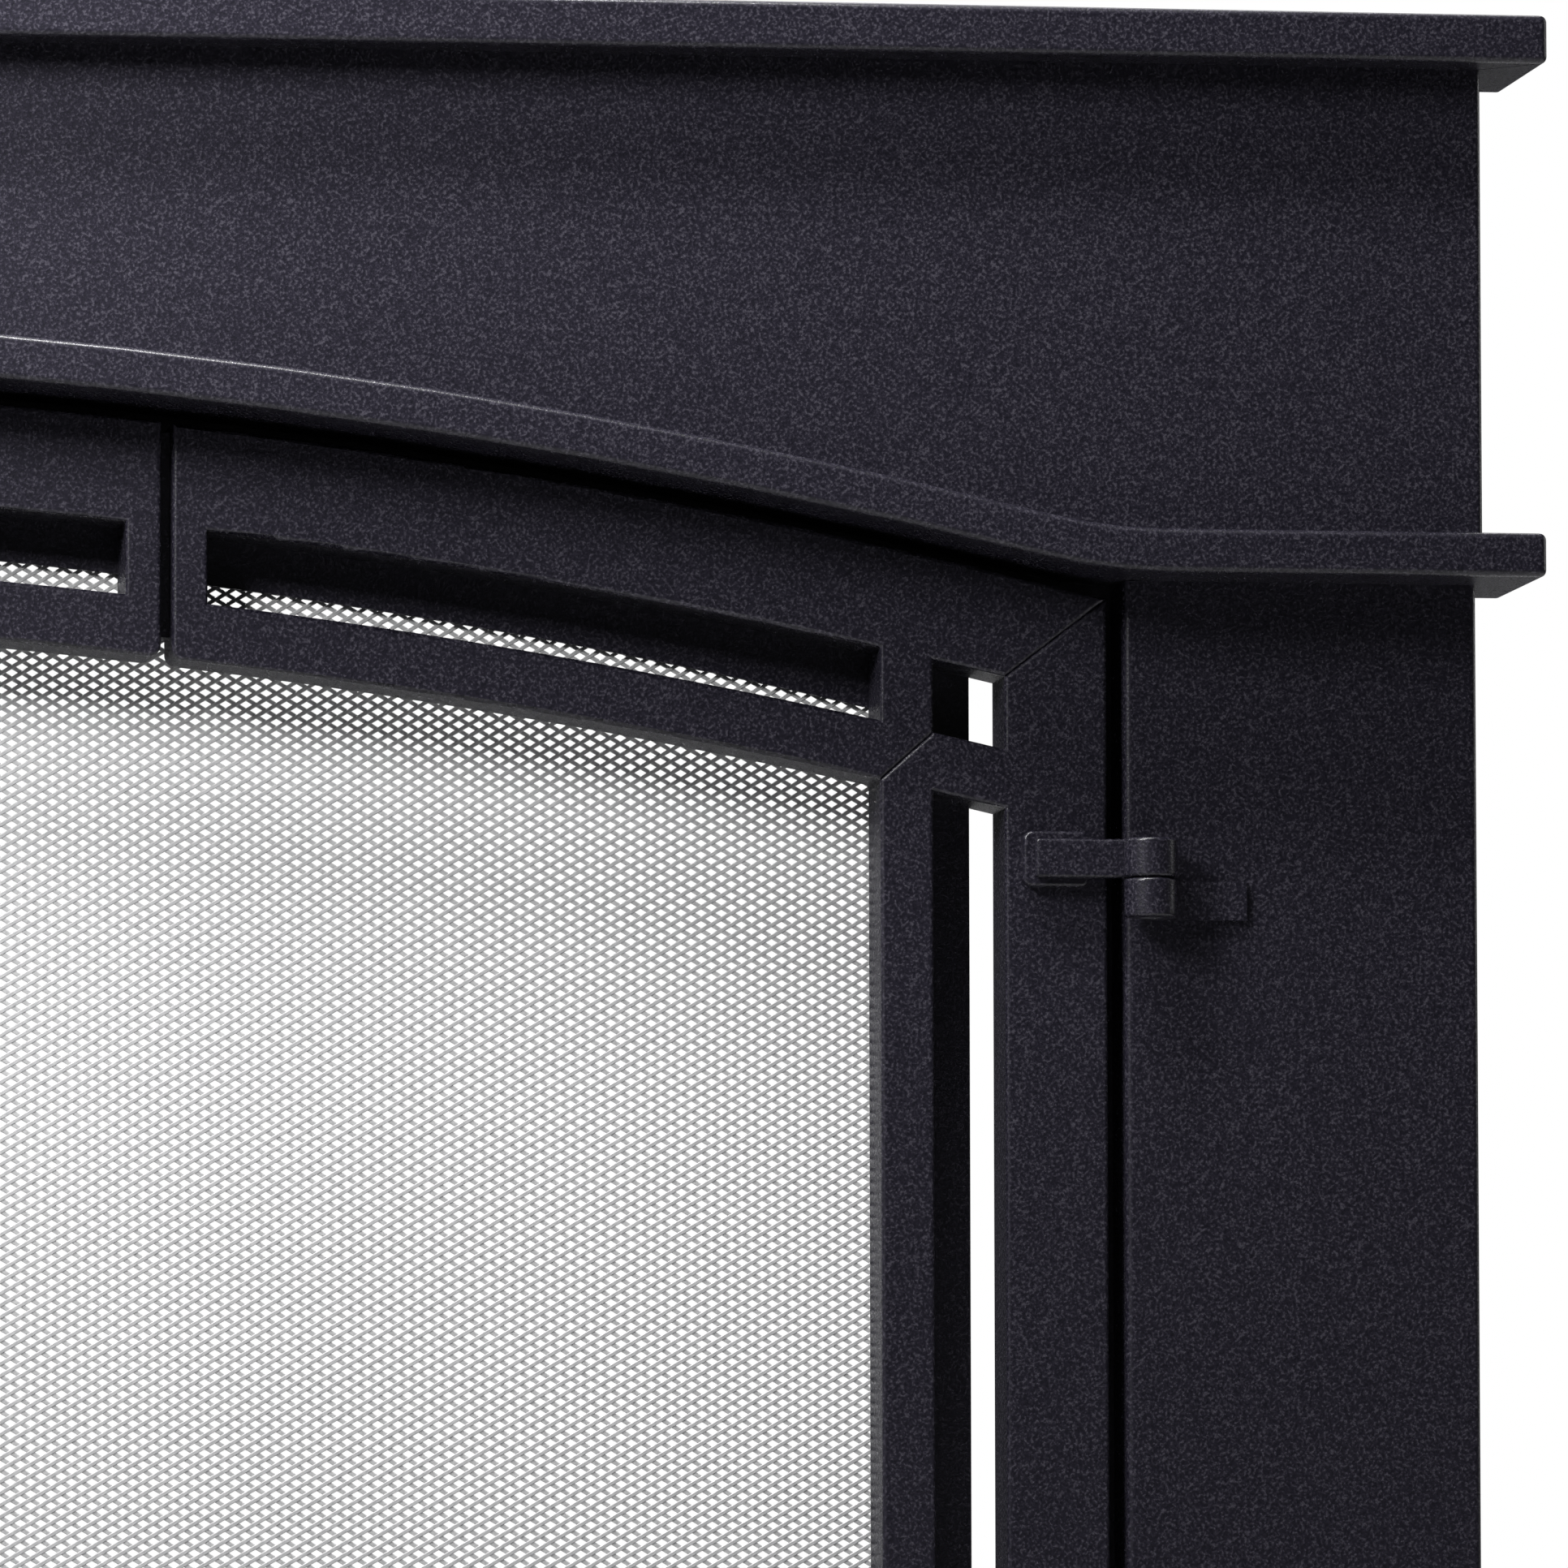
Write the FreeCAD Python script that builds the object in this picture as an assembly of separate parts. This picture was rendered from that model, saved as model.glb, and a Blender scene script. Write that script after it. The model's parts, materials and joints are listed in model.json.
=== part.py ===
import FreeCAD, Part
import math
import os
from collections import namedtuple

# A free-standing fireplace screen of folded, powder-coated steel sheet, with a pair of arched mesh doors.
# Millimetres. X runs across the screen, Y from front to back, Z up. The origin is on the floor, at the
# middle of the feet. Pieces are modelled on the right (+X) side and mirrored for the left.

Vector = FreeCAD.Vector

# ---- Overall sizes
overall_width = 1118.0
overall_height = 838.0
foot_length = 340.0

# ---- Case: shelf, header, ledge, legs, sill and feet
case_sheet = 1.5            # sheet of every case piece
bend_radius = 1.8           # outside radius of the folds at the front of the case
shelf_screw_shares = (-0.9, -0.45, 0, 0.45, 0.9)    # across the half width of the body
shelf_screw_inset = 14.0    # behind the header's face
body_overhang = 15.0        # shelf past the outer side of a leg
shelf_height = 12.7
shelf_depth = 59.0
shelf_corner_radius = 2.0
mitre_groove_width = 0.6    # open joint of the folded returns under the shelf's front corners
mitre_groove_depth = 0.5
mitre_groove_start = 3.0    # from the corner, each way
header_crown_height = 71.3  # header above the crown of the ledge
header_proud = 10.0         # header face in front of the leg face
ledge_height = 11.5
ledge_side_inset = 1.0      # ledge end inside the shelf end
ledge_drop = 52.5           # crown of the ledge above its flat ends
ledge_flat_reach = 9.0      # where arch and flat cross, inside the leg's inner side
ledge_bend_radius = 134.0   # upper edge, where the arch runs out into the flat
leg_width = 94.0
leg_depth = 34.0
shelf_forward = 25.0        # front of shelf and ledge before the leg face
sill_bottom = 16.0
sill_height = 20.0
sill_upstand = 14.0
foot_width = 40.0
foot_thickness = 6.0
foot_corner_radius = 12.0
foot_bolt_floor = 1.0       # steel left under a foot bolt's hole
pad_radius = 12.0
pad_thickness = 3.0
pad_from_end = 24.0

# ---- Door stops and catches
stop_lap = 10.0             # stop behind the door's top edge
jamb_lap = 17.3             # stop behind the door's outer edge
stop_clearance = 0.6
catch_width = 36.0
catch_height = 26.0
catch_depth = 9.0
catch_room = 0.3            # above the catch, under the stop's flange
catch_gap = 0.5             # between the mesh and the catch
catch_tab_rise = 1.0        # tab's lower end above the stop's lower edge
catch_offset = 32.0         # catch centre from the middle of the screen

# ---- Doors
door_sheet = 1.0
door_depth = 20.0
door_edge_radius = 1.1      # outside radius of the folds round a door piece
door_top_gap = 3.9
door_side_gap = 4.7
door_bottom_gap = 4.0
door_centre_gap = 3.0
stile_width = 60.0
rail_width = 61.5
slot_offset = 27.0          # slot from the door's outer edge
slot_width = 19.0
slot_end_margin = 9.2
seam_gap = 3.0
seam_corner_radius = 3.0
splice_recess = 7.0
splice_depth = 13.0
meeting_stile_width = 25.5

# ---- Mesh and the flat bars that carry it
bar_width = 26.0
bar_thickness = 2.0
bar_inset = 2.0             # top, bottom and inner bars inside the door's inner edge
outer_bar_inset = 0.7       # outer bar behind the stile's inner edge
top_bar_lap = 38.15         # lower edge of the top bar below the door's crown
top_bar_extra_drop = 3.2    # how much further that edge falls at its outer end
bottom_bar_offset = 13.5
mesh_thickness = 0.8
mesh_lap = 20.0             # mesh over each bar
inner_bar_setback = 2.0     # inner upright bar behind the meeting stile's outer edge
mesh_edge_inset = 1.0       # mesh inside the inner bar's edge

# ---- Hinges
pin_radius = 3.0
pin_running_clearance = 0.05
knuckle_radius = 7.0
knuckle_height = 10.2
knuckle_gap = 0.3
knuckle_cap = 2.0
knuckle_edge_radius = 0.9
hinge_axis_from_leg = 5.4   # axis outward from the leg's inner side
hinge_axis_forward = 8.0    # axis before the leg face
hinge_from_corner = 73.8    # height between a door corner and the middle of its hinge
leg_strap_thickness = 1.6
leg_strap_reach = 26.6
door_strap_thickness = 3.0
door_strap_reach = 30.1
hinge_pad_thickness = 3.5
hinge_pad_width = 17.5
hinge_pad_height = 14.5
hinge_pad_overhang = 2.8
hinge_pad_radius = 2.5

# ---- Handles
handle_length = 116.0
handle_width = 12.0
handle_projection = 30.0
handle_bar_thickness = 8.0
handle_foot_length = 12.0
handle_edge_radius = 2.0
handle_centre_height = 372.0
handle_thread_depth = 12.0

# ---- Screws: shank radius, head radius, head height
shelf_screw = (2.0, 4.0, 2.4)
frame_bolt = (3.0, 5.5, 4.0)
foot_bolt = (3.0, 5.5, 4.0)
sill_screw = (2.0, 4.0, 2.4)
handle_screw = (2.0, 4.0, 2.4)
bolt_hole_clearance = 0.3
sill_screw_edge = 4.0       # sill screw's head to the leg's wall
bolt_edge_room = 1.0        # foot bolt's head to the leg's wall
frame_bolt_edge = 16.0      # frame bolt's head to the leg's wall
frame_bolt_end = 9.0        # frame bolt below the leg's top return
nut_height = 4.5
thread_tip_room = 1.0       # hole past the tip of a handle screw
foot_bolt_tip_room = 0.2    # hole past the tip of a foot bolt

# ---- Places that follow from the sizes
body_half = overall_width / 2 - body_overhang
leg_inner = body_half - leg_width
leg_front = -leg_depth / 2
leg_back = leg_depth / 2
case_front = leg_front - shelf_forward
header_front = leg_front - header_proud
shelf_bottom = overall_height - shelf_height
ledge_crown = shelf_bottom - header_crown_height
ledge_flat = ledge_crown - ledge_drop
ledge_half = overall_width / 2 - ledge_side_inset
ledge_under_crown = ledge_crown - ledge_height
ledge_under_flat = ledge_flat - ledge_height
leg_bottom = pad_thickness + foot_thickness
sill_top = sill_bottom + sill_height
arch_span = leg_inner - ledge_flat_reach
arch_radius = (arch_span ** 2 + ledge_drop ** 2) / (2 * ledge_drop)

door_crown = ledge_under_crown - door_top_gap
door_bottom = sill_top + door_bottom_gap
door_outer = leg_inner - door_side_gap
door_inner = door_centre_gap / 2
door_front = leg_front
door_back = door_front + door_depth
stile_inner = door_outer - stile_width
slot_outer_x = door_outer - slot_offset
slot_inner_x = slot_outer_x - slot_width
seam_x = (door_inner + stile_inner + slot_end_margin) / 2
bar_back = door_back + bar_thickness
mesh_back = bar_back + mesh_thickness
stop_front = door_back + stop_clearance
stop_back = stop_front + case_sheet
jamb_inner = door_outer - jamb_lap

hinge_x = leg_inner + hinge_axis_from_leg
hinge_y = leg_front - hinge_axis_forward


# ---- Outlines. An edge of the doors is either an arch, named by the height of its crown, or level.
Edge = namedtuple("Edge", "height arched")
Corner = namedtuple("Corner", "x z edge")


def arch_z(x, crown):
    """Height at x of an arch with this crown."""
    return crown - arch_radius + math.sqrt(arch_radius ** 2 - x ** 2)


def at(x, edge):
    """Corner of an outline where a door edge passes x."""
    height = arch_z(x, edge.height) if edge.arched else edge.height
    return Corner(x, height, edge)


def point(x, z):
    return Vector(x, 0, z)


def run(start, end):
    """One side of an outline: along the arch when both corners lie on the same one, else straight."""
    if start.edge == end.edge and start.edge.arched:
        middle = at((start.x + end.x) / 2, start.edge)
        return Part.Arc(point(start.x, start.z), point(middle.x, middle.z), point(end.x, end.z)).toShape()
    return Part.makeLine(point(start.x, start.z), point(end.x, end.z))


def outline(corners):
    """Flat face in the XZ plane through the corners."""
    sides = [run(corner, corners[(i + 1) % len(corners)]) for i, corner in enumerate(corners)]
    return Part.Face(Part.Wire(sides))


def prism(face, front, back):
    """Solid from a flat outline, between two depths."""
    solid = face.extrude(Vector(0, back - front, 0))
    solid.translate(Vector(0, front, 0))
    return solid


def box(low, high):
    """Box between two opposite corners."""
    size = [b - a for a, b in zip(low, high)]
    return Part.makeBox(size[0], size[1], size[2], Vector(*low))


def join(shapes):
    return shapes[0].multiFuse(shapes[1:]).removeSplitter()


def round_spots(solid, spots, radius):
    """Round the front-to-back edges that pass these x, z places."""
    picked = []
    for edge in solid.Edges:
        room = edge.BoundBox
        if room.XLength < 0.01 and room.ZLength < 0.01:
            if any(math.hypot(room.XMin - x, room.ZMin - z) < 0.05 for x, z in spots):
                picked.append(edge)
    return solid.makeFillet(radius, picked)


def round_front(solid, radius):
    """Round every edge that lies in the solid's front plane, as a folded sheet is there."""
    front = solid.BoundBox.YMin
    picked = [edge for edge in solid.Edges
              if edge.BoundBox.YMax - front < 0.01 and edge.Length > 2 * radius]
    return solid.makeFillet(radius, picked)


def pan(face, front, depth, sheet, slots=(), round_corners=()):
    """Folded tray, open at the back, with a collar round each slot."""
    tray = prism(face, front, front + depth)
    if round_corners:
        tray = round_spots(tray, round_corners, seam_corner_radius)
    pocket = face.makeOffset2D(-sheet, 0)
    for slot in slots:
        pocket = pocket.cut(slot.makeOffset2D(sheet, 2))
        tray = tray.cut(prism(slot, front - 1, front + depth + 1))
    return tray, prism(pocket, front + sheet, front + depth + 1)


def mirrored(shape):
    return shape.mirror(Vector(0, 0, 0), Vector(1, 0, 0))


def screw(place, direction, sizes, length):
    """Screw with its head's underside at place and its shank running along direction."""
    shank_radius, head_radius, head_height = sizes
    shank = Part.makeCylinder(shank_radius, length, place, direction)
    head = Part.makeCylinder(head_radius, head_height, place, direction * -1)
    far = place - direction * head_height
    rim = [edge for edge in head.Edges if edge.CenterOfMass.distanceToPoint(far) < 0.01 and edge.Closed]
    return join([head.makeFillet(head_height * 0.4, rim), shank])


def group(shapes):
    """Separate solids kept in one node."""
    return Part.makeCompound(shapes)


# ---- The ledge line: an arch that runs out into flat ends through a bend
def ledge_line(crown, flat, bend, half):
    """Edges of the ledge line from -half to half."""
    centre_z = crown - arch_radius
    bend_z = flat + bend
    bend_x = math.sqrt((arch_radius + bend) ** 2 - (bend_z - centre_z) ** 2)
    share = arch_radius / (arch_radius + bend)
    touch = Vector(bend_x * share, 0, centre_z + (bend_z - centre_z) * share)
    turn = math.atan2(bend_x - touch.x, bend_z - touch.z) / 2
    middle = Vector(bend_x - bend * math.sin(turn), 0, bend_z - bend * math.cos(turn))
    edges = [Part.Arc(Vector(-touch.x, 0, touch.z), Vector(0, 0, crown), touch).toShape()]
    for side in (-1, 1):
        near = Vector(side * touch.x, 0, touch.z)
        through = Vector(side * middle.x, 0, middle.z)
        far = Vector(side * bend_x, 0, flat)
        edges.append(Part.Arc(near, through, far).toShape())
        edges.append(Part.makeLine(far, Vector(side * half, 0, flat)))
    return edges


def face_between(edges, corners):
    """Face closed by the edges and by straight lines through the corners."""
    lines = [Part.makeLine(a, b) for a, b in zip(corners, corners[1:])]
    return Part.Face(Part.Wire(Part.sortEdges(edges + lines)[0]))


def ledge_face(drop_top, drop_bottom, half):
    """Strip between two copies of the ledge's lower line, moved down by the two drops."""
    bend = ledge_bend_radius + ledge_height
    upper = ledge_line(ledge_under_crown - drop_top, ledge_under_flat - drop_top, bend, half)
    lower = ledge_line(ledge_under_crown - drop_bottom, ledge_under_flat - drop_bottom, bend, half)
    ends = [Part.makeLine(point(side * half, ledge_under_flat - drop_top),
                          point(side * half, ledge_under_flat - drop_bottom)) for side in (-1, 1)]
    return Part.Face(Part.Wire(Part.sortEdges(upper + lower + ends)[0]))


# ---- Case
def make_shelf():
    """Cap of the screen: a shallow sheet box, open at the back, its underside mitred at the corners."""
    half = overall_width / 2
    back = case_front + shelf_depth
    shelf = box((-half, case_front, shelf_bottom), (half, back, overall_height))
    upright = [edge for edge in shelf.Edges
               if edge.BoundBox.ZLength > shelf_height / 2 and edge.BoundBox.YMax < case_front + 0.01]
    shelf = shelf.makeFillet(shelf_corner_radius, upright)
    rims = [edge for edge in shelf.Edges
            if edge.BoundBox.ZLength < 0.01 and edge.BoundBox.YMin < back - 1]
    shelf = shelf.makeFillet(bend_radius, rims)
    hollow = box((-half + case_sheet, case_front + case_sheet, shelf_bottom + case_sheet),
                 (half - case_sheet, back + 1, overall_height - case_sheet))
    shelf = shelf.cut(hollow)
    reach = body_overhang + shelf_forward
    for side in (-1, 1):
        groove = box((0, -mitre_groove_width / 2, -mitre_groove_depth),
                     (reach, mitre_groove_width / 2, mitre_groove_depth))
        groove.rotate(Vector(0, 0, 0), Vector(0, 0, 1), 90 + side * 45)
        groove.translate(Vector(side * (half - mitre_groove_start), case_front + mitre_groove_start,
                                shelf_bottom))
        shelf = shelf.cut(groove)
    for x, y in shelf_screw_places():
        shelf = shelf.cut(Part.makeCylinder(shelf_screw[0], case_sheet + 2, Vector(x, y, shelf_bottom - 1)))
    return shelf


def shelf_screw_places():
    y = header_front + shelf_screw_inset
    return [(share * body_half, y) for share in shelf_screw_shares]


def frame_bolt_places():
    x = body_half - leg_width / 2
    step = leg_width / 2 - case_sheet - frame_bolt[1] - frame_bolt_edge
    return [(side * (x + way * step), 0) for side in (-1, 1) for way in (-1, 1)]


def drill(shape, places, radius, low, high):
    """Upright holes through a shape between two heights."""
    for x, y in places:
        shape = shape.cut(Part.makeCylinder(radius, high - low, Vector(x, y, low)))
    return shape


def make_header():
    """Fascia between shelf and ledge, a tray whose lower return lies on the ledge."""
    low = ledge_line(ledge_crown, ledge_flat, ledge_bend_radius, body_half)
    face = face_between(low, [point(-body_half, ledge_flat), point(-body_half, shelf_bottom),
                              point(body_half, shelf_bottom), point(body_half, ledge_flat)])
    tray, pocket = pan(face, header_front, leg_back - header_front, case_sheet)
    upright = [edge for edge in tray.Edges
               if edge.BoundBox.YMax < header_front + 0.01 and edge.BoundBox.XLength < 0.01]
    header = tray.makeFillet(bend_radius, upright).cut(pocket)
    header = drill(header, shelf_screw_places(), shelf_screw[0] + bolt_hole_clearance,
                   shelf_bottom - case_sheet - 1, shelf_bottom + 1)
    return drill(header, frame_bolt_places(), frame_bolt[0] + bolt_hole_clearance,
                 ledge_flat - 1, ledge_flat + case_sheet + 1)


def ledge_solid():
    """Outer shape of the ledge, before it is hollowed."""
    upper = ledge_line(ledge_crown, ledge_flat, ledge_bend_radius, ledge_half)
    lower = ledge_line(ledge_under_crown, ledge_under_flat, ledge_bend_radius + ledge_height, ledge_half)
    ends = [Part.makeLine(point(side * ledge_half, ledge_flat), point(side * ledge_half, ledge_under_flat))
            for side in (-1, 1)]
    face = Part.Face(Part.Wire(Part.sortEdges(upper + lower + ends)[0]))
    return face, prism(face, case_front, case_front + shelf_depth)


def make_ledge():
    """Second shelf, bent to the arch of the doors; a sheet box, open at the back."""
    face, solid = ledge_solid()
    corners = [edge for edge in solid.Edges
               if edge.BoundBox.ZLength > ledge_height / 2 and edge.BoundBox.XLength < 0.01
               and edge.BoundBox.YMax < case_front + 0.01]
    solid = solid.makeFillet(shelf_corner_radius, corners)
    solid = round_front(solid, bend_radius)
    hollow = prism(face.makeOffset2D(-case_sheet, 2), case_front + case_sheet, leg_back + 1)
    ledge = solid.cut(hollow)
    return drill(ledge, frame_bolt_places(), frame_bolt[0] + bolt_hole_clearance,
                 ledge_under_flat - 1, ledge_flat + 1)


def make_leg():
    """Plain upright, a folded tray open at the back."""
    level = [Edge(ledge_under_flat, False), Edge(leg_bottom, False)]
    face = outline([at(leg_inner, level[0]), at(body_half, level[0]), at(body_half, level[1]),
                    at(leg_inner, level[1])])
    tray, pocket = pan(face, leg_front, leg_depth, case_sheet)
    sides = [edge for edge in tray.Edges
             if edge.BoundBox.YMax < leg_front + 0.01 and edge.BoundBox.ZLength > leg_depth]
    leg = tray.makeFillet(bend_radius, sides).cut(pocket)
    leg = drill(leg, frame_bolt_places(), frame_bolt[0] + bolt_hole_clearance,
                ledge_under_flat - case_sheet - 1, ledge_under_flat + 1)
    leg = drill(leg, foot_bolt_places(1), foot_bolt[0] + bolt_hole_clearance,
                leg_bottom - 1, leg_bottom + case_sheet + 1)
    for place in sill_screw_places(1):
        leg = leg.cut(Part.makeCylinder(sill_screw[0] + bolt_hole_clearance, case_sheet + 2,
                                        place - Vector(1, 0, 0), Vector(1, 0, 0)))
    return leg


def foot_bolt_places(side):
    x = side * (body_half - leg_width / 2)
    y = leg_depth / 2 - case_sheet - foot_bolt[1] - bolt_edge_room
    return [(x, -y), (x, y)]


def make_foot():
    """Flat bar under a leg, running front to back, round at both ends."""
    x = body_half - leg_width / 2
    foot = box((x - foot_width / 2, -foot_length / 2, pad_thickness),
               (x + foot_width / 2, foot_length / 2, leg_bottom))
    ends = [edge for edge in foot.Edges if edge.BoundBox.ZLength > foot_thickness / 2]
    foot = foot.makeFillet(min(foot_corner_radius, foot_width * 0.45), ends)
    rims = [edge for edge in foot.Edges if edge.BoundBox.ZMin > leg_bottom - 0.01]
    foot = foot.makeFillet(bend_radius, rims)
    return drill(foot, foot_bolt_places(1), foot_bolt[0], pad_thickness + foot_bolt_floor, leg_bottom)


def make_floor_pads():
    pads = []
    for side in (-1, 1):
        for end in (-1, 1):
            place = Vector(side * (body_half - leg_width / 2), end * (foot_length / 2 - pad_from_end), 0)
            pads.append(Part.makeCylinder(pad_radius, pad_thickness, place))
    return group(pads)


def sill_screw_places(side):
    """Where the screws come out of the leg's inner side into the sill."""
    height = sill_bottom + sill_height / 2
    reach = leg_depth / 2 - case_sheet - sill_screw[1] - sill_screw_edge
    return [Vector(side * leg_inner, way * reach, height) for way in (-1, 1)]


def make_sill():
    """Bottom cross member between the legs, with an upstand behind the doors."""
    levels = [Edge(sill_top, False), Edge(sill_bottom, False)]
    face = outline([at(-leg_inner, levels[0]), at(leg_inner, levels[0]), at(leg_inner, levels[1]),
                    at(-leg_inner, levels[1])])
    tray, pocket = pan(face, leg_front, leg_depth, case_sheet)
    long_edges = [edge for edge in tray.Edges
                  if edge.BoundBox.YMax < leg_front + 0.01 and edge.BoundBox.XLength > leg_inner]
    sill = tray.makeFillet(bend_radius, long_edges).cut(pocket)
    upstand = box((-jamb_inner, stop_front, sill_top - case_sheet),
                  (jamb_inner, stop_back, sill_top + sill_upstand))
    sill = join([sill, upstand])
    for side in (-1, 1):
        for place in sill_screw_places(side):
            sill = sill.cut(Part.makeCylinder(sill_screw[0], case_sheet + 2, place + Vector(side, 0, 0),
                                              Vector(-side, 0, 0)))
    return sill


def make_jamb_stop():
    """Angle strip inside the leg, behind the door's outer edge."""
    top = ledge_flat
    plate = box((jamb_inner, stop_front, sill_top), (leg_inner, stop_back, top))
    flange = box((leg_inner - case_sheet, stop_front, sill_top), (leg_inner, leg_back, top))
    return join([plate, flange]).cut(ledge_solid()[1])


def make_arch_stop():
    """Angle strip under the ledge, behind the top edges of the doors."""
    plate = prism(ledge_face(0, door_top_gap + stop_lap, ledge_half), stop_front, stop_back)
    flange = prism(ledge_face(0, case_sheet, ledge_half), stop_front, leg_back)
    trim = box((-jamb_inner, stop_front, 0), (jamb_inner, leg_back, overall_height))
    return join([plate, flange]).common(trim)


def make_magnet_catch():
    """Magnet in a small holder, fixed to the back of the arch stop, its face behind the door's top bar."""
    low_x = catch_offset - catch_width / 2
    high_x = catch_offset + catch_width / 2
    top = arch_z(high_x, ledge_under_crown) - case_sheet - catch_room
    front = mesh_back + catch_gap
    holder = box((low_x, front, top - catch_height), (high_x, front + catch_depth, top))
    rims = [edge for edge in holder.Edges if edge.BoundBox.YMin > front + catch_depth - 0.01]
    holder = holder.makeFillet(bend_radius, rims)
    tab_bottom = arch_z(low_x, ledge_under_crown) - door_top_gap - stop_lap + catch_tab_rise
    tab = box((low_x, stop_back, tab_bottom), (high_x, front + case_sheet, top))
    return join([holder, tab])


# ---- Doors
top_edges = {"outer": Edge(door_crown, True), "slot_far": Edge(door_crown - slot_offset, True),
             "slot_near": Edge(door_crown - slot_offset - slot_width, True),
             "inner": Edge(door_crown - rail_width, True)}
bottom_edges = {"outer": Edge(door_bottom, False), "slot_far": Edge(door_bottom + slot_offset, False),
                "slot_near": Edge(door_bottom + slot_offset + slot_width, False),
                "inner": Edge(door_bottom + rail_width, False)}


def rail_slot(edges, start, end):
    """Long slot of a rail piece."""
    return outline([at(start, edges["slot_far"]), at(end, edges["slot_far"]), at(end, edges["slot_near"]),
                    at(start, edges["slot_near"])])


def finish_door_piece(tray, pocket):
    return round_front(tray, door_edge_radius).cut(pocket)


def make_outer_rail(edges):
    """Rail piece from the seam to the mitred corner, with two sides of the square corner hole."""
    start = seam_x + seam_gap / 2
    face = outline([at(start, edges["outer"]), at(door_outer, edges["outer"]),
                    at(slot_outer_x, edges["slot_far"]), at(slot_inner_x, edges["slot_far"]),
                    at(slot_inner_x, edges["slot_near"]), at(stile_inner, edges["inner"]),
                    at(start, edges["inner"])])
    slot = rail_slot(edges, start + slot_end_margin, stile_inner)
    seam_corner = at(start, edges["inner"])
    return finish_door_piece(*pan(face, door_front, door_depth, door_sheet, [slot],
                                  [(seam_corner.x, seam_corner.z)]))


def make_inner_rail(edges):
    """Rail piece from the middle of the screen to the seam."""
    end = seam_x - seam_gap / 2
    face = outline([at(door_inner, edges["outer"]), at(end, edges["outer"]), at(end, edges["inner"]),
                    at(door_inner, edges["inner"])])
    slot = rail_slot(edges, door_inner + slot_end_margin, end - slot_end_margin)
    seam_corner = at(end, edges["inner"])
    return finish_door_piece(*pan(face, door_front, door_depth, door_sheet, [slot],
                                  [(seam_corner.x, seam_corner.z)]))


def make_outer_stile():
    """Wide upright, mitred at both ends, with a long slot and two sides of each corner hole."""
    def corner(edges):
        return [at(stile_inner, edges["inner"]), at(slot_inner_x, edges["slot_near"]),
                at(slot_outer_x, edges["slot_near"]), at(slot_outer_x, edges["slot_far"]),
                at(door_outer, edges["outer"])]
    face = outline(corner(top_edges) + corner(bottom_edges)[::-1])
    slot = outline([at(slot_inner_x, top_edges["inner"]), at(slot_outer_x, top_edges["inner"]),
                    at(slot_outer_x, bottom_edges["inner"]), at(slot_inner_x, bottom_edges["inner"])])
    return finish_door_piece(*pan(face, door_front, door_depth, door_sheet, [slot]))


def make_meeting_stile():
    """Narrow upright where the doors meet, between the rails."""
    outer = door_inner + meeting_stile_width
    face = outline([at(door_inner, top_edges["inner"]), at(outer, top_edges["inner"]),
                    at(outer, bottom_edges["inner"]), at(door_inner, bottom_edges["inner"])])
    stile = finish_door_piece(*pan(face, door_front, door_depth, door_sheet))
    for z in handle_foot_heights():
        stile = stile.cut(Part.makeCylinder(handle_screw[0] + bolt_hole_clearance, 3 * door_sheet,
                                            Vector(handle_x(), door_front - door_sheet, z), Vector(0, 1, 0)))
    return stile


def make_splice(edges):
    """Spacer strip in the seam, recessed, that the ends of the two rail pieces are fixed to."""
    low = at(seam_x, edges["inner"])
    high = at(seam_x, edges["outer"])
    bottom, top = sorted((low.z, high.z))
    front = door_front + splice_recess
    return box((seam_x - seam_gap / 2, front, bottom + 2 * seam_corner_radius),
               (seam_x + seam_gap / 2, front + splice_depth, top - 2 * door_sheet))


# ---- Mesh and its bars
bar_outer_x = stile_inner + outer_bar_inset + bar_width
bar_inner_x = door_inner + bar_inset
inner_bar_outer_x = door_inner + meeting_stile_width - inner_bar_setback
bottom_bar_top = door_bottom + bottom_bar_offset + bar_width


def top_bar_line(raise_by):
    """Lower edge of the mesh's top bar, moved up by raise_by; it is rolled tighter than the rails."""
    crown = door_crown - top_bar_lap + raise_by
    drop = crown - arch_z(bar_outer_x, crown) + top_bar_extra_drop
    radius = (bar_outer_x ** 2 + drop ** 2) / (2 * drop)
    places = (bar_inner_x, (bar_inner_x + bar_outer_x) / 2, bar_outer_x)
    return [point(x, crown - radius + math.sqrt(radius ** 2 - x ** 2)) for x in places]


def above_bar_line(raise_by, front, back):
    """Solid over the top bar's lower edge, to cut away what would stand above it."""
    line = top_bar_line(raise_by)
    over = door_crown + bar_width
    face = face_between([Part.Arc(*line).toShape()],
                        [line[0], point(bar_inner_x, over), point(bar_outer_x, over), line[2]])
    return prism(face, front - 1, back + 1)


def make_top_bar():
    low = top_bar_line(0)
    high = top_bar_line(bar_width)
    edges = [Part.Arc(*low).toShape(), Part.Arc(*high).toShape(), Part.makeLine(low[0], high[0]),
             Part.makeLine(low[2], high[2])]
    return prism(Part.Face(Part.Wire(Part.sortEdges(edges)[0])), door_back, bar_back)


def make_bottom_bar():
    return box((bar_inner_x, door_back, bottom_bar_top - bar_width), (bar_outer_x, bar_back, bottom_bar_top))


def upright_bar(low_x, high_x):
    """Upright bar from the bottom bar to the curved lower edge of the top bar."""
    bar = box((low_x, door_back, bottom_bar_top), (high_x, bar_back, door_crown))
    return bar.cut(above_bar_line(0, door_back, bar_back))


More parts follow.
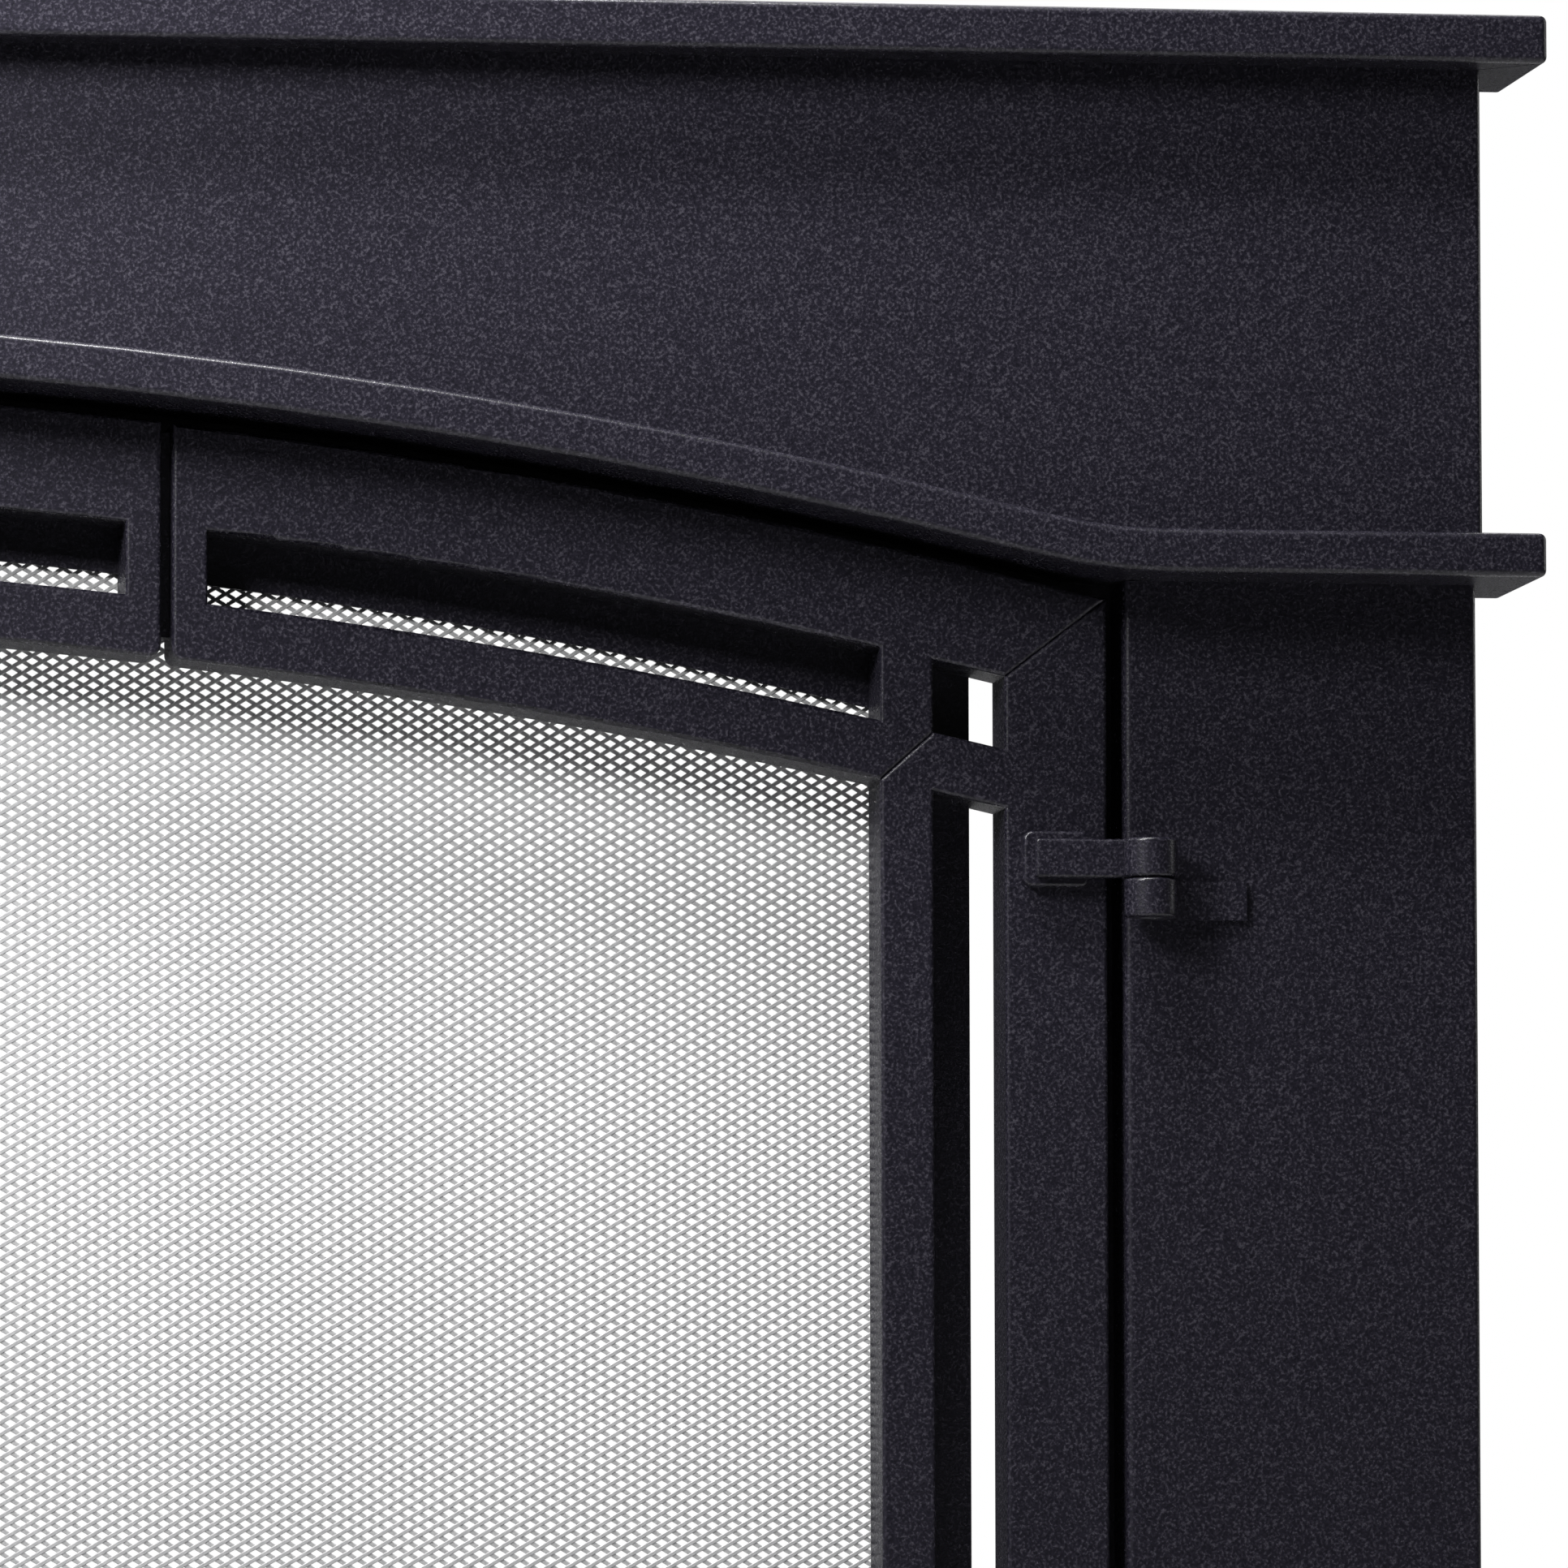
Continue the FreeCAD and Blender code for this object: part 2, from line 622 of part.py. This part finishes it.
def make_mesh():
    """Sheet of expanded metal on the back of the bars."""
    left = bar_inner_x + mesh_edge_inset
    right = bar_outer_x - bar_width + mesh_lap
    sheet = box((left, bar_back, bottom_bar_top - mesh_lap), (right, mesh_back, door_crown))
    return sheet.cut(above_bar_line(mesh_lap, bar_back, mesh_back))


# ---- Hinges
def hinge_heights():
    """Height of the joint between the two knuckles of the upper and the lower hinge."""
    return {"upper": arch_z(door_outer, door_crown) - hinge_from_corner,
            "lower": door_bottom + hinge_from_corner}


def soft_cylinder(radius, height, place):
    knuckle = Part.makeCylinder(radius, height, place)
    return knuckle.makeFillet(knuckle_edge_radius, [edge for edge in knuckle.Edges if edge.Closed])


def make_leg_hinge(height):
    """Lower knuckle with a thin strap on the leg; the pin is pressed into it."""
    low = height - knuckle_gap / 2 - knuckle_height
    knuckle = soft_cylinder(knuckle_radius, knuckle_height, Vector(hinge_x, hinge_y, low))
    strap = box((hinge_x, leg_front - leg_strap_thickness, low),
                (hinge_x + leg_strap_reach, leg_front, low + knuckle_height))
    neck = box((hinge_x, hinge_y + knuckle_radius / 2, low),
               (hinge_x + knuckle_radius / 2 + 1, leg_front, low + knuckle_height))
    leaf = join([knuckle, strap, neck])
    return leaf.cut(Part.makeCylinder(pin_radius, knuckle_height + 2, Vector(hinge_x, hinge_y, low - 1)))


def make_door_hinge(height):
    """Upper knuckle, capped, with a strap that reaches over the gap to the pad on the door."""
    low = height + knuckle_gap / 2
    knuckle = soft_cylinder(knuckle_radius, knuckle_height, Vector(hinge_x, hinge_y, low))
    left = hinge_x - door_strap_reach
    back = door_front - hinge_pad_thickness
    front = back - door_strap_thickness
    strap = box((left, front, low), (hinge_x, back, low + knuckle_height))
    rims = [edge for edge in strap.Edges
            if edge.BoundBox.XMax < left + 0.01 or edge.BoundBox.YMax < front + 0.01]
    strap = strap.makeFillet(knuckle_edge_radius, rims)
    leaf = join([knuckle, strap])
    bore = Part.makeCylinder(pin_radius + pin_running_clearance, knuckle_height - knuckle_cap + 1,
                             Vector(hinge_x, hinge_y, low - 1))
    return leaf.cut(bore)


def make_hinge_pad(height):
    """Raised pad on the stile under the door strap."""
    middle = height + (knuckle_gap + knuckle_height) / 2
    left = hinge_x - door_strap_reach - hinge_pad_overhang
    pad = box((left, door_front - hinge_pad_thickness, middle - hinge_pad_height / 2),
              (left + hinge_pad_width, door_front, middle + hinge_pad_height / 2))
    corners = [edge for edge in pad.Edges if edge.BoundBox.YLength > hinge_pad_thickness / 2]
    pad = pad.makeFillet(hinge_pad_radius, corners)
    return round_front(pad, knuckle_edge_radius)


def make_hinge_pin(height):
    low = height - knuckle_gap / 2 - knuckle_height
    length = 2 * (knuckle_height - knuckle_gap) - knuckle_cap
    pin = Part.makeCylinder(pin_radius, length, Vector(hinge_x, hinge_y, low))
    ends = [edge for edge in pin.Edges if edge.Closed and edge.BoundBox.ZMin > low + length - 0.01]
    return pin.makeChamfer(knuckle_edge_radius, ends)


# ---- Handle
def handle_x():
    return door_inner + meeting_stile_width / 2


def handle_foot_heights():
    reach = (handle_length - handle_foot_length) / 2
    return [handle_centre_height - reach, handle_centre_height + reach]


def make_handle():
    """Upright bow handle on the meeting stile."""
    x = handle_x()
    low = handle_centre_height - handle_length / 2
    high = low + handle_length
    front = door_front - handle_projection
    bow = box((x - handle_width / 2, front, low), (x + handle_width / 2, door_front, high))
    gap = box((x - handle_width, front + handle_bar_thickness, low + handle_foot_length),
              (x + handle_width, door_front + 1, high - handle_foot_length))
    bow = bow.cut(gap)
    edges = [edge for edge in bow.Edges if edge.BoundBox.YMin < door_front - 0.01]
    bow = bow.makeFillet(handle_edge_radius, edges)
    for z in handle_foot_heights():
        bow = bow.cut(Part.makeCylinder(handle_screw[0], handle_thread_depth, Vector(x, door_front, z),
                                        Vector(0, -1, 0)))
    return bow


def make_handle_screws():
    back = door_front + door_sheet
    length = door_sheet + handle_thread_depth - thread_tip_room
    return group([screw(Vector(handle_x(), back, z), Vector(0, -1, 0), handle_screw, length)
                  for z in handle_foot_heights()])


# ---- Fasteners of the case
def make_shelf_screws():
    height = shelf_bottom - case_sheet
    return group([screw(Vector(x, y, height), Vector(0, 0, 1), shelf_screw, 3 * case_sheet)
                  for x, y in shelf_screw_places()])


def make_frame_bolts():
    """Bolts through header, ledge and leg, each with its nut."""
    bolts = []
    head_seat = ledge_flat + case_sheet
    nut_seat = ledge_under_flat - case_sheet
    length = head_seat - nut_seat + frame_bolt_end
    for x, y in frame_bolt_places():
        bolt = screw(Vector(x, y, head_seat), Vector(0, 0, -1), frame_bolt, length)
        turns = [math.radians(60 * i) for i in range(7)]
        corners = [Vector(x + frame_bolt[1] * math.cos(turn), y + frame_bolt[1] * math.sin(turn), nut_seat)
                   for turn in turns]
        nut = Part.Face(Part.makePolygon(corners)).extrude(Vector(0, 0, -nut_height))
        bolts.append(join([bolt, nut]))
    return group(bolts)


def make_foot_bolts():
    height = leg_bottom + case_sheet
    length = case_sheet + foot_thickness - foot_bolt_floor - foot_bolt_tip_room
    return group([screw(Vector(x, y, height), Vector(0, 0, -1), foot_bolt, length)
                  for side in (-1, 1) for x, y in foot_bolt_places(side)])


def make_sill_screws():
    screws = []
    for side in (-1, 1):
        for place in sill_screw_places(side):
            seat = place + Vector(side * case_sheet, 0, 0)
            screws.append(screw(seat, Vector(-side, 0, 0), sill_screw, 4 * case_sheet))
    return group(screws)


# ---- Build and write every node
def build():
    heights = hinge_heights()
    nodes = {"top_shelf": make_shelf(), "header_panel": make_header(), "arched_ledge": make_ledge(),
             "bottom_sill": make_sill(), "floor_pads": make_floor_pads(), "arch_stop": make_arch_stop(),
             "shelf_screws": make_shelf_screws(), "frame_bolts": make_frame_bolts(),
             "foot_bolts": make_foot_bolts(), "sill_screws": make_sill_screws()}
    paired = {"leg": make_leg(), "foot": make_foot(), "jamb_stop": make_jamb_stop(),
              "magnet_catch": make_magnet_catch(),
              "hinge_pins": group([make_hinge_pin(height) for height in heights.values()]),
              "hinge_pads": group([make_hinge_pad(height) for height in heights.values()]),
              "outer_stile": make_outer_stile(), "meeting_stile": make_meeting_stile(),
              "outer_top_rail": make_outer_rail(top_edges), "inner_top_rail": make_inner_rail(top_edges),
              "outer_bottom_rail": make_outer_rail(bottom_edges),
              "inner_bottom_rail": make_inner_rail(bottom_edges),
              "top_splice": make_splice(top_edges), "bottom_splice": make_splice(bottom_edges),
              "mesh_top_bar": make_top_bar(), "mesh_bottom_bar": make_bottom_bar(),
              "mesh_outer_bar": upright_bar(bar_outer_x - bar_width, bar_outer_x),
              "mesh_inner_bar": upright_bar(bar_inner_x, inner_bar_outer_x),
              "mesh": make_mesh(), "handle": make_handle(), "handle_screws": make_handle_screws()}
    for level, height in heights.items():
        paired[level + "_leg_hinge"] = make_leg_hinge(height)
        paired[level + "_door_hinge"] = make_door_hinge(height)
    for name, shape in paired.items():
        nodes["right_" + name] = shape
        nodes["left_" + name] = mirrored(shape)
    return nodes


os.makedirs("parts", exist_ok=True)
for node, shape in build().items():
    shape.exportStep("parts/" + node + ".step")
    print(node, len(shape.Solids), round(shape.Volume / 1000, 2), shape.isValid())
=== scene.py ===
import json
import math

import bpy
from mathutils import Matrix, Vector


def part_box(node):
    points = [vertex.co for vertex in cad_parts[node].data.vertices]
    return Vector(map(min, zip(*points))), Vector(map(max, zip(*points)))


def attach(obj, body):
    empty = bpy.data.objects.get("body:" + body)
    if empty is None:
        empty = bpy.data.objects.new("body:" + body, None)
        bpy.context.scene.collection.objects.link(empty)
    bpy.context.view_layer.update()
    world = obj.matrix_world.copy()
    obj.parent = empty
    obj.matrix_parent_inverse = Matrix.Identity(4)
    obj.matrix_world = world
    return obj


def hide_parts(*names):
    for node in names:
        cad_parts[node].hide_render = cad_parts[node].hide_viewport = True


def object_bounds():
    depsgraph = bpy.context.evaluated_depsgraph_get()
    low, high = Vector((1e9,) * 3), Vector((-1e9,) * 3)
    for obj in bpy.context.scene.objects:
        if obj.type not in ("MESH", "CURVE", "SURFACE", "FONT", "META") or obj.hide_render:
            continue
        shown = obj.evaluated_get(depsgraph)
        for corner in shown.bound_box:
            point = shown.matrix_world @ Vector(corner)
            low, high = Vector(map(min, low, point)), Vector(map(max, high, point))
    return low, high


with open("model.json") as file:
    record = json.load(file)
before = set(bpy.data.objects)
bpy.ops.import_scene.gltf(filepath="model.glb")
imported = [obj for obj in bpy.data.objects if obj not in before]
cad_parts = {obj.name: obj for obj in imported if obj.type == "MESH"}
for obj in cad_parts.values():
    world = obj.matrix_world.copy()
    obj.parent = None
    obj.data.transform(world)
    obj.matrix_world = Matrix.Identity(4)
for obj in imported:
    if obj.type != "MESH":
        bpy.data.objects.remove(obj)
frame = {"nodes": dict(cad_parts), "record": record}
cad_low, cad_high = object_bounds()

# ---- Powder-coated steel
# Every sheet, rail, bar, hinge and handle is sprayed with one fine-textured black powder and baked, so the
# finish is the same all over: blue-black, with dark and lighter grains less than a millimetre across.


def new_material(name):
    """Material with an empty node tree, its shader and its object coordinates."""
    material = bpy.data.materials.new(name)
    material.use_nodes = True
    tree = material.node_tree
    tree.nodes.clear()
    output = tree.nodes.new("ShaderNodeOutputMaterial")
    shader = tree.nodes.new("ShaderNodeBsdfPrincipled")
    tree.links.new(shader.outputs["BSDF"], output.inputs["Surface"])
    place = tree.nodes.new("ShaderNodeTexCoord").outputs["Object"]
    return material, tree, shader, place


def noise(tree, place, scale, detail=2.0, roughness=0.5):
    """Noise texture on object coordinates; scale is in cycles per metre."""
    node = tree.nodes.new("ShaderNodeTexNoise")
    node.inputs["Scale"].default_value = scale
    node.inputs["Detail"].default_value = detail
    node.inputs["Roughness"].default_value = roughness
    tree.links.new(place, node.inputs["Vector"])
    return node.outputs["Fac"]


def turned(tree, place):
    """Coordinates turned off the axes, so that every flat face cuts the grain alike."""
    node = tree.nodes.new("ShaderNodeMapping")
    node.inputs["Rotation"].default_value = (0.6, 0.5, 0.4)
    tree.links.new(place, node.inputs["Vector"])
    return node.outputs["Vector"]


def ramp(tree, source, stops):
    """Colour ramp through (position, colour) stops."""
    node = tree.nodes.new("ShaderNodeValToRGB")
    elements = node.color_ramp.elements
    while len(elements) < len(stops):
        elements.new(0.5)
    for element, (position, colour) in zip(elements, stops):
        element.position = position
        element.color = (*colour, 1.0)
    tree.links.new(source, node.inputs["Fac"])
    return node.outputs["Color"]


def mix_colours(tree, share, first, second, steady=0.5):
    """Mix of two colours by a share that varies, or by a steady one."""
    node = tree.nodes.new("ShaderNodeMix")
    node.data_type = "RGBA"
    node.inputs["Factor"].default_value = steady
    if share is not None:
        tree.links.new(share, node.inputs["Factor"])
    colours = [socket for socket in node.inputs if socket.type == "RGBA"]
    tree.links.new(first, colours[0])
    tree.links.new(second, colours[1])
    return [socket for socket in node.outputs if socket.type == "RGBA"][0]


def bump(tree, shader, height, strength, depth):
    """Bump from a height; depth is in metres."""
    node = tree.nodes.new("ShaderNodeBump")
    node.inputs["Strength"].default_value = strength
    node.inputs["Distance"].default_value = depth
    tree.links.new(height, node.inputs["Height"])
    tree.links.new(node.outputs["Normal"], shader.inputs["Normal"])


grains_per_metre = 1250.0
clouds_per_metre = 7.0
dark_grain = (0.0022, 0.0019, 0.0056)
light_grain = (0.0138, 0.0124, 0.0194)
# Rare bright grains: part powder grain, part painted glint, light caught on the grains put into the colour.
bright_grain_painted_glint = (0.052, 0.049, 0.062)
grain_depth = 0.00009


def make_powder_coat():
    """Baked powder: grains from dark to light, a rare bright one a painted glint, drifting a little from
    place to place.
    """
    material, tree, shader, place = new_material("powder_coat")
    grain = noise(tree, turned(tree, place), grains_per_metre, 2.0, 0.6)
    cloud = noise(tree, place, clouds_per_metre, 3.0)
    # The top stop of the grain is a painted glint, not only the powder's own tone.
    ground = ramp(tree, grain, [(0.34, dark_grain), (0.52, light_grain), (0.68, bright_grain_painted_glint)])
    drift = ramp(tree, cloud, [(0.35, dark_grain), (0.65, light_grain)])
    tree.links.new(mix_colours(tree, None, ground, drift, 0.08), shader.inputs["Base Color"])
    gloss = ramp(tree, grain, [(0.36, (0.39, 0.39, 0.39)), (0.62, (0.21, 0.21, 0.21))])
    tree.links.new(gloss, shader.inputs["Roughness"])
    shader.inputs["Specular IOR Level"].default_value = 0.4
    bump(tree, shader, grain, 1.0, grain_depth)
    return material


def coat(names, material):
    """Give CAD nodes a finish."""
    for name in names:
        node = frame["nodes"][name]
        node.data.materials.clear()
        node.data.materials.append(material)


def slot_nodes(slot):
    return [row["node"] for row in frame["record"]["subparts"] if row["material_slot"] == slot]


coat(slot_nodes("powder_coat"), make_powder_coat())

# ---- Zinc-plated fasteners and hinge pins
# Screws, bolts, nuts and pins are bright zinc, slightly blue, with the cloudy grain of plating.


def make_zinc():
    material, tree, shader, place = new_material("zinc_plate")
    grain = noise(tree, place, 1500.0, 3.0)
    cloud = noise(tree, place, 160.0, 2.0)
    colour = ramp(tree, cloud, [(0.3, (0.36, 0.37, 0.40)), (0.7, (0.52, 0.53, 0.55))])
    tree.links.new(colour, shader.inputs["Base Color"])
    gloss = ramp(tree, grain, [(0.3, (0.28, 0.28, 0.28)), (0.7, (0.46, 0.46, 0.46))])
    tree.links.new(gloss, shader.inputs["Roughness"])
    shader.inputs["Metallic"].default_value = 1.0
    bump(tree, shader, grain, 0.25, 0.00004)
    return material


coat(slot_nodes("zinc_steel"), make_zinc())

# ---- Moulded catch holders
# Each magnet sits in a small black moulding with a fine spark-eroded grain.


def make_moulding():
    material, tree, shader, place = new_material("catch_moulding")
    grain = noise(tree, place, 2600.0, 2.0)
    colour = ramp(tree, grain, [(0.3, (0.016, 0.016, 0.017)), (0.7, (0.032, 0.032, 0.034))])
    tree.links.new(colour, shader.inputs["Base Color"])
    shader.inputs["Roughness"].default_value = 0.55
    bump(tree, shader, grain, 0.3, 0.00005)
    return material


coat(slot_nodes("catch_plastic"), make_moulding())

# ---- Floor pads
# Turned rubber discs glued under the feet, matt black with the dusty bloom of rubber.


def make_rubber():
    material, tree, shader, place = new_material("pad_rubber")
    bloom = noise(tree, place, 300.0, 4.0, 0.65)
    colour = ramp(tree, bloom, [(0.35, (0.012, 0.012, 0.012)), (0.75, (0.035, 0.034, 0.033))])
    tree.links.new(colour, shader.inputs["Base Color"])
    shader.inputs["Roughness"].default_value = 0.85
    bump(tree, shader, bloom, 0.3, 0.0001)
    return material


coat(slot_nodes("pad_rubber"), make_rubber())

# ---- Mesh panels
# Flattened expanded metal behind each door: strands slant both ways and leave diamond holes 5.33 mm wide and
# 3.05 mm high. The sheet is cut to the door's arch and spot-welded on the back of the flat bars.

mesh_pitch_x = 0.00533
mesh_pitch_z = 0.00305
strand_width = 0.00108
strand_thickness = 0.0005
strand_offset = 0.15        # of the thickness, each family before or behind the middle
strand_spare = 1.15         # strand length over the panel's diagonal
strand_edge_share = 0.3     # of the thickness, taken off each edge
cutter_stretch = 20         # so that the trimming solid is thicker than the strands
merge_distance = 0.00001


def make_mesh_steel():
    material, tree, shader, place = new_material("mesh_steel")
    grain = noise(tree, place, 900.0, 2.0)
    cloud = noise(tree, place, 14.0, 2.0)
    light = ramp(tree, grain, [(0.3, (0.38, 0.38, 0.385)), (0.7, (0.48, 0.48, 0.483))])
    dark = ramp(tree, grain, [(0.3, (0.34, 0.34, 0.345)), (0.7, (0.44, 0.44, 0.443))])
    tree.links.new(mix_colours(tree, cloud, light, dark), shader.inputs["Base Color"])
    shader.inputs["Metallic"].default_value = 0.2
    shader.inputs["Roughness"].default_value = 0.5
    bump(tree, shader, grain, 0.2, 0.00003)
    return material


mesh_steel = make_mesh_steel()


def deselect():
    if bpy.context.object is not None and bpy.context.object.mode != "OBJECT":
        bpy.ops.object.mode_set(mode="OBJECT")
    bpy.ops.object.select_all(action="DESELECT")


def apply_modifier(piece, kind, **settings):
    """Adds a modifier to the active object and applies it."""
    modifier = piece.modifiers.new(kind.lower(), kind)
    for key, value in settings.items():
        setattr(modifier, key, value)
    bpy.ops.object.modifier_apply(modifier=modifier.name)


def make_outline_cutter(node):
    """Copy of the flat sheet, merged and thickened, that the strands are trimmed with."""
    deselect()
    cutter = bpy.data.objects.new(node + "_cutter", frame["nodes"][node].data.copy())
    bpy.context.scene.collection.objects.link(cutter)
    bpy.context.view_layer.objects.active = cutter
    cutter.select_set(True)
    bpy.ops.object.mode_set(mode="EDIT")
    bpy.ops.mesh.select_all(action="SELECT")
    bpy.ops.mesh.remove_doubles(threshold=merge_distance)
    middle = sum(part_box(node), Vector()) / 2
    bpy.ops.transform.resize(value=(1, cutter_stretch, 1), center_override=middle)
    bpy.ops.object.mode_set(mode="OBJECT")
    return cutter


def make_strands(name, node, lean, depth):
    """One family of parallel slanting strands, cut to the sheet's outline."""
    low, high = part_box(node)
    slope = lean * mesh_pitch_z / mesh_pitch_x
    width = high.x - low.x
    reach = abs(slope) * width
    middle = (low + high) / 2
    deselect()
    start = Vector((middle.x, middle.y + depth * strand_thickness, low.z - reach / 2))
    bpy.ops.mesh.primitive_cube_add(size=1, location=start)
    strands = bpy.context.object
    strands.name = name
    strands.scale = (strand_spare * math.hypot(width, reach), strand_thickness, strand_width)
    bpy.ops.object.transform_apply(location=True, rotation=True, scale=True)
    bpy.ops.object.mode_set(mode="EDIT")
    bpy.ops.mesh.select_all(action="SELECT")
    bpy.ops.mesh.bevel(offset=strand_thickness * strand_edge_share, segments=1)
    bpy.ops.transform.rotate(value=math.atan(slope), orient_axis="Y", center_override=start)
    bpy.ops.object.mode_set(mode="OBJECT")
    count = int((high.z - low.z + reach) / mesh_pitch_z) + 1
    apply_modifier(strands, "ARRAY", count=count, use_relative_offset=False, use_constant_offset=True,
                   constant_offset_displace=(0, 0, mesh_pitch_z))
    cutter = make_outline_cutter(node)
    deselect()
    bpy.context.view_layer.objects.active = strands
    strands.select_set(True)
    apply_modifier(strands, "BOOLEAN", operation="INTERSECT", solver="EXACT", object=cutter)
    bpy.data.objects.remove(cutter)
    return strands


def make_mesh_panel(side):
    """Both families of strands for one door, joined."""
    node = side + "_mesh"
    rising = make_strands(side + "_mesh_panel", node, 1, -strand_offset)
    falling = make_strands(side + "_falling_strands", node, -1, strand_offset)
    deselect()
    falling.select_set(True)
    rising.select_set(True)
    bpy.context.view_layer.objects.active = rising
    bpy.ops.object.join()
    bpy.context.scene.cursor.location = (0, 0, 0)
    bpy.ops.object.origin_set(type="ORIGIN_CURSOR")
    return rising


def mirrored_copy(piece, name):
    """Copy for the other side of the screen, with a mesh of its own that faces outwards."""
    deselect()
    copy = bpy.data.objects.new(name, piece.data.copy())
    bpy.context.scene.collection.objects.link(copy)
    bpy.context.view_layer.objects.active = copy
    copy.select_set(True)
    bpy.ops.object.mode_set(mode="EDIT")
    bpy.ops.mesh.select_all(action="SELECT")
    bpy.ops.transform.resize(value=(-1, 1, 1), center_override=(0, 0, 0))
    bpy.ops.mesh.flip_normals()
    bpy.ops.object.mode_set(mode="OBJECT")
    return copy


right_panel = make_mesh_panel("right")
for side, panel in (("right", right_panel), ("left", mirrored_copy(right_panel, "left_mesh_panel"))):
    panel.data.materials.clear()
    panel.data.materials.append(mesh_steel)
    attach(panel, side + "_door")
    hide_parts(side + "_mesh")

# ---- Studio
# Plain pale floor and a white surround. A close key light stands at the upper left, a strip over the ledge
# draws its folded edge, a rim light lies over the shelf, and three room lights behind fill floor and mesh.


floor_radius = 2.4


def make_floor():
    deselect()
    bpy.ops.mesh.primitive_circle_add(vertices=96, radius=floor_radius, fill_type="NGON",
                                      location=(0, 0, cad_low.z))
    floor = bpy.context.object
    floor.name = "studio_floor"
    material, tree, shader, place = new_material("pale_floor")
    tone = ramp(tree, noise(tree, place, 3.0), [(0.3, (0.74, 0.74, 0.75)), (0.7, (0.80, 0.80, 0.80))])
    tree.links.new(tone, shader.inputs["Base Color"])
    shader.inputs["Roughness"].default_value = 0.8
    floor.data.materials.append(material)


make_floor()

surround_light = 0.035


def make_surround():
    """White beyond the object, and a dimmer white for what the surfaces see of it."""
    world = bpy.data.worlds.new("studio")
    bpy.context.scene.world = world
    world.use_nodes = True
    tree = world.node_tree
    tree.nodes.clear()
    output = tree.nodes.new("ShaderNodeOutputWorld")
    seen = tree.nodes.new("ShaderNodeBackground")
    seen.inputs["Color"].default_value = (1, 1, 1, 1)
    seen.inputs["Strength"].default_value = 1.0
    lit = tree.nodes.new("ShaderNodeBackground")
    lit.inputs["Color"].default_value = (0.96, 0.97, 1.0, 1)
    lit.inputs["Strength"].default_value = surround_light
    mix = tree.nodes.new("ShaderNodeMixShader")
    path = tree.nodes.new("ShaderNodeLightPath")
    tree.links.new(path.outputs["Is Camera Ray"], mix.inputs["Fac"])
    tree.links.new(lit.outputs["Background"], mix.inputs[1])
    tree.links.new(seen.outputs["Background"], mix.inputs[2])
    tree.links.new(mix.outputs["Shader"], output.inputs["Surface"])


make_surround()


def soft_light(name, place, aim, size, power, spread=180.0):
    data = bpy.data.lights.new(name, "AREA")
    data.shape = "RECTANGLE"
    data.size, data.size_y = size
    data.energy = power
    data.spread = math.radians(spread)
    light = bpy.data.objects.new(name, data)
    bpy.context.scene.collection.objects.link(light)
    light.location = place
    light.rotation_euler = (Vector(aim) - Vector(place)).to_track_quat("-Z", "Y").to_euler()


soft_light("key_left", (-0.3, -0.58, 1.16), (-0.05, 0.0, 0.88), (0.3, 0.3), 5.9, 100.0)
soft_light("strip_overhead", (0.15, -0.3, 1.5), (0.1, -0.04, 0.75), (0.5, 0.12), 15.0)
soft_light("rim_top", (0.05, 0.45, 1.6), (0.0, 0.0, 0.8), (0.6, 0.4), 25.0)
soft_light("room_top", (0.2, 1.6, 3.2), (0.0, 0.5, 0.0), (2.5, 1.6), 38.0)
soft_light("room_right", (2.6, 0.5, 1.3), (0.5, 0.2, 0.5), (1.2, 1.4), 10.0)
soft_light("room_left", (-2.6, 0.5, 1.3), (-0.5, 0.2, 0.5), (1.2, 1.4), 10.0)

# ---- Camera
# Low in front of the screen and left of it, a long lens turned up to its upper right part.

camera_place = (-0.216, -3.737, 0.317)
camera_lens = 332.74
turn_right = math.radians(8.798)
tilt_up = math.radians(4.838)
roll = math.radians(-0.133)

camera_data = bpy.data.cameras.new("camera")
camera_data.lens = camera_lens
camera_data.sensor_width = 36.0
camera = bpy.data.objects.new("camera", camera_data)
bpy.context.scene.collection.objects.link(camera)
heading = Vector((math.sin(turn_right) * math.cos(tilt_up), math.cos(turn_right) * math.cos(tilt_up),
                  math.sin(tilt_up)))
across = Vector((math.cos(turn_right), -math.sin(turn_right), 0.0))
upward = across.cross(heading)
right = math.cos(roll) * across + math.sin(roll) * upward
up = math.cos(roll) * upward - math.sin(roll) * across
camera.matrix_world = Matrix((right, up, -heading)).transposed().to_4x4()
camera.location = camera_place
bpy.context.scene.camera = camera
bpy.context.scene.view_settings.view_transform = "Standard"
